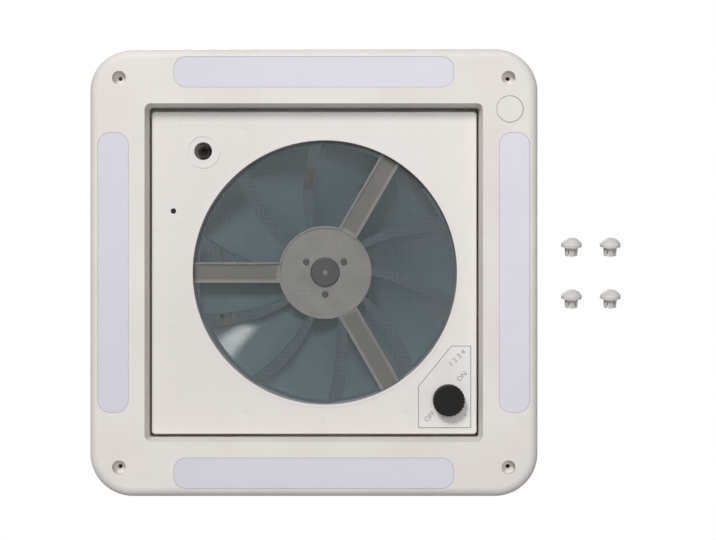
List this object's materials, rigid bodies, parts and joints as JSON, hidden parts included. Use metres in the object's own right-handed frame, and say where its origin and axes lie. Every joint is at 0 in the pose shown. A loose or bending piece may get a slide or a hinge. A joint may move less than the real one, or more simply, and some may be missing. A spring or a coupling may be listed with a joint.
{
  "type": "caravan roof vent",
  "caption": "Powered roof vent for a caravan: lit trim frame, inner panel with round fan opening, fan, smoked lid with crank lift.",
  "frame": {"origin": "centre of the roof cut-out, on the roof skin's outer face under the flange seal", "axes": "+Z towards the sky, -Y towards the lid's hinges, +X towards the fan's side; the room is below"},
  "size_m": [0.6168, 0.5235, 0.1339],
  "materials": {
    "cover_white": "moulded white ASA, satin gloss",
    "panel_white": "moulded white ABS",
    "lens_opal": "opal polycarbonate, lavender white",
    "smoked_lid": "smoked polycarbonate",
    "fan_plastic": "glossy smoked blue-grey plastic",
    "seal_foam": "black closed-cell seal",
    "screen_mesh": "woven insect mesh",
    "plated_steel": "zinc-plated steel",
    "bracket_steel": "pressed steel, grey",
    "motor_steel": "dark zinc-plated motor can",
    "gear_brass": "machined brass",
    "housing_nylon": "glass-filled nylon",
    "knob_black": "black moulded",
    "label_film": "printed polyester film",
    "board_white": "white-lacquered aluminium board",
    "switch_black": "black switch body",
    "cap_white": "moulded white polypropylene"
  },
  "bodies": {
    "frame": {"roof_base": "cover_white", "flange_seal": "seal_foam", "curb_seal": "seal_foam", "hinge_pins": "plated_steel", "gear_housing": "housing_nylon", "housing_screws": "plated_steel", "motor_bracket": "bracket_steel", "motor_screws": "motor_steel", "bracket_screws": "plated_steel", "motor_end_bell": "motor_steel", "motor_can": "motor_steel", "inner_panel": "panel_white", "panel_screws": "plated_steel", "screen_ring": "cover_white", "insect_screen": "screen_mesh", "speed_switch": "switch_black", "label_plate": "label_film", "trim_frame": "cover_white", "light_switch": "switch_black", "screw_caps": "cap_white", "led_lens_rear": "lens_opal", "led_board_rear": "board_white", "led_lens_front": "lens_opal", "led_board_front": "board_white", "led_lens_left": "lens_opal", "led_board_left": "board_white", "led_lens_right": "lens_opal", "led_board_right": "board_white"},
    "lid": {"lid": "smoked_lid", "lid_stiffener": "plated_steel", "lift_rail": "plated_steel", "lid_screws": "plated_steel"},
    "lift_arm": {"lift_arm": "plated_steel", "sector_gear": "gear_brass", "cross_shaft": "plated_steel", "roller_pin": "plated_steel"},
    "roller": {"roller": "housing_nylon"},
    "crank": {"crank_spindle": "gear_brass"},
    "fan": {"fan_rotor": "fan_plastic", "motor_shaft": "plated_steel", "hub_nut": "plated_steel"},
    "knob": {"control_knob": "knob_black", "switch_shaft": "gear_brass"},
    "button": {"light_button": "cover_white"}
  },
  "joints": [
    {"name": "lid_hinge", "type": "hinge", "parent": "frame", "child": "lid", "pos_m": [0, -0.2555, 0.03], "axis": [1, 0, 0], "range_deg": [0, 45]},
    {"name": "arm_lift", "type": "hinge", "parent": "frame", "child": "lift_arm", "pos_m": [-0.13, -0.18, 0.038], "axis": [1, 0, 0], "range_deg": [0, 59.4]},
    {"name": "crank_turn", "type": "hinge", "parent": "frame", "child": "crank", "pos_m": [-0.13, -0.142, 0], "axis": [0, 0, 1], "range_deg": [-2380, 0]},
    {"name": "roller_spin", "type": "hinge", "parent": "lift_arm", "child": "roller", "pos_m": [-0.1072, 0.05, 0.046], "axis": [1, 0, 0], "continuous": true},
    {"name": "fan_spin", "type": "hinge", "parent": "frame", "child": "fan", "pos_m": [0.0125, 0, 0], "axis": [0, 0, 1], "continuous": true},
    {"name": "knob_turn", "type": "hinge", "parent": "frame", "child": "knob", "pos_m": [0.1572, 0.1492, -0.046], "axis": [0, 0, 1], "range_deg": [0, 270]},
    {"name": "button_press", "type": "slide", "parent": "frame", "child": "button", "axis": [0, 0, 1], "range_m": [0, 0.0015], "stiffness_N_per_m": 700, "springref_m": -0.0015}
  ],
  "couplings": [
    {"joint": "arm_lift", "follows": "lid_hinge", "ratio": 1.318},
    {"joint": "crank_turn", "follows": "lid_hinge", "ratio": -52.72}
  ]
}
